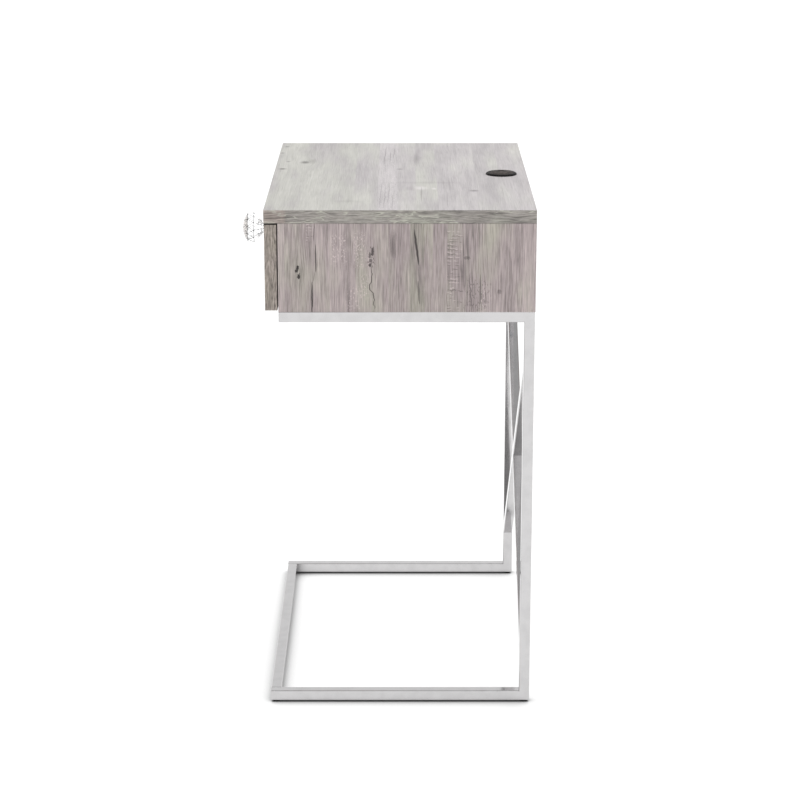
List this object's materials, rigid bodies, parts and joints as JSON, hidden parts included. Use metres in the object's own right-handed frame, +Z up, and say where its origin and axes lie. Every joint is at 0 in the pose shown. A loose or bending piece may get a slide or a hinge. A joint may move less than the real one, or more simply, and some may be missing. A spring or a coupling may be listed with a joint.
{
  "type": "side table with drawer",
  "caption": "C-shaped side table: grey-washed board top and carcass on a chrome square-tube frame with an X brace, full-extension drawer with crystal knob, charging port in the top.",
  "frame": {"origin": "on the floor, under the centre of the bounding box of the whole table with its knob", "axes": "+Z up; the drawer opens towards -Y; +X is the table's right side as seen from the front"},
  "size_m": [0.491, 0.3704, 0.6415],
  "materials": {
    "washed_oak_board": "grey-washed weathered oak print with plank bands, knots and saw marks, satin",
    "back_board": "grey-washed oak print on thin board, matte",
    "beech": "fluted beech, raw",
    "drawer_board": "pale grey woodgrain paper foil, satin",
    "drawer_floor": "pale grey woodgrain paper on hardboard, matte",
    "chrome_tube": "polished chrome plate with faint polishing haze",
    "knob_chrome": "polished chrome plate",
    "crystal": "clear faceted crystal, polished",
    "zinc_plate": "bright zinc plate",
    "slide_steel": "zinc-plated rolled steel, satin",
    "cage_steel": "dull steel strip",
    "ball_steel": "polished bearing steel",
    "black_steel": "black oxide",
    "brass": "turned brass",
    "black_plastic": "black moulded plastic",
    "port_black": "black moulded plastic, semi-gloss",
    "port_face_grey": "dark grey moulded plastic, fine texture",
    "socket_steel": "nickel-plated steel",
    "circuit_board": "green solder mask"
  },
  "bodies": {
    "table": {"top_panel": "washed_oak_board", "left_side_panel": "washed_oak_board", "right_side_panel": "washed_oak_board", "back_panel": "back_board", "bottom_panel": "washed_oak_board", "carcass_dowels": "beech", "cam_locks": "zinc_plate", "cam_bolts": "zinc_plate", "back_panel_screws": "zinc_plate", "cable_grommet": "black_plastic", "left_leg": "chrome_tube", "right_leg": "chrome_tube", "left_top_rail": "chrome_tube", "right_top_rail": "chrome_tube", "left_floor_rail": "chrome_tube", "right_floor_rail": "chrome_tube", "front_top_crossbar": "chrome_tube", "rear_top_crossbar": "chrome_tube", "front_floor_crossbar": "chrome_tube", "brace_bar_rising": "chrome_tube", "brace_bar_falling_upper": "chrome_tube", "brace_bar_falling_lower": "chrome_tube", "front_left_foot": "black_plastic", "front_right_foot": "black_plastic", "rear_left_foot": "black_plastic", "rear_right_foot": "black_plastic", "frame_screws": "black_steel", "frame_inserts": "brass", "port_housing": "port_black", "port_face": "port_face_grey", "port_shell": "socket_steel", "port_tongue": "black_plastic", "port_circuit_board": "circuit_board", "port_lock_nut": "black_plastic", "port_power_inlet": "black_plastic", "left_slide_outer": "slide_steel", "right_slide_outer": "slide_steel", "cabinet_slide_screws": "zinc_plate"},
    "drawer": {"drawer_front": "washed_oak_board", "drawer_left_side": "drawer_board", "drawer_right_side": "drawer_board", "drawer_back": "drawer_board", "drawer_bottom": "drawer_floor", "drawer_dowels": "beech", "knob_crystal": "crystal", "knob_base": "knob_chrome", "knob_screw": "zinc_plate", "left_slide_inner": "slide_steel", "right_slide_inner": "slide_steel", "drawer_slide_screws": "zinc_plate"},
    "left_middle_member": {"left_slide_middle": "slide_steel"},
    "right_middle_member": {"right_slide_middle": "slide_steel"},
    "left_outer_ball_cage": {"left_outer_cage": "cage_steel", "left_outer_balls": "ball_steel"},
    "right_outer_ball_cage": {"right_outer_cage": "cage_steel", "right_outer_balls": "ball_steel"},
    "left_inner_ball_cage": {"left_inner_cage": "cage_steel", "left_inner_balls": "ball_steel"},
    "right_inner_ball_cage": {"right_inner_cage": "cage_steel", "right_inner_balls": "ball_steel"}
  },
  "joints": [
    {"name": "drawer_slide", "type": "slide", "parent": "table", "child": "drawer", "axis": [0, -1, 0], "range_m": [0, 0.25]},
    {"name": "left_middle_slide", "type": "slide", "parent": "table", "child": "left_middle_member", "axis": [0, -1, 0], "range_m": [0, 0.125]},
    {"name": "left_outer_cage_roll", "type": "slide", "parent": "table", "child": "left_outer_ball_cage", "axis": [0, -1, 0], "range_m": [0, 0.0625]},
    {"name": "left_inner_cage_roll", "type": "slide", "parent": "table", "child": "left_inner_ball_cage", "axis": [0, -1, 0], "range_m": [0, 0.1875]},
    {"name": "right_middle_slide", "type": "slide", "parent": "table", "child": "right_middle_member", "axis": [0, -1, 0], "range_m": [0, 0.125]},
    {"name": "right_outer_cage_roll", "type": "slide", "parent": "table", "child": "right_outer_ball_cage", "axis": [0, -1, 0], "range_m": [0, 0.0625]},
    {"name": "right_inner_cage_roll", "type": "slide", "parent": "table", "child": "right_inner_ball_cage", "axis": [0, -1, 0], "range_m": [0, 0.1875]}
  ],
  "couplings": [
    {"joint": "left_middle_slide", "follows": "drawer_slide", "ratio": 0.5},
    {"joint": "left_outer_cage_roll", "follows": "drawer_slide", "ratio": 0.25},
    {"joint": "left_inner_cage_roll", "follows": "drawer_slide", "ratio": 0.75},
    {"joint": "right_middle_slide", "follows": "drawer_slide", "ratio": 0.5},
    {"joint": "right_outer_cage_roll", "follows": "drawer_slide", "ratio": 0.25},
    {"joint": "right_inner_cage_roll", "follows": "drawer_slide", "ratio": 0.75}
  ]
}
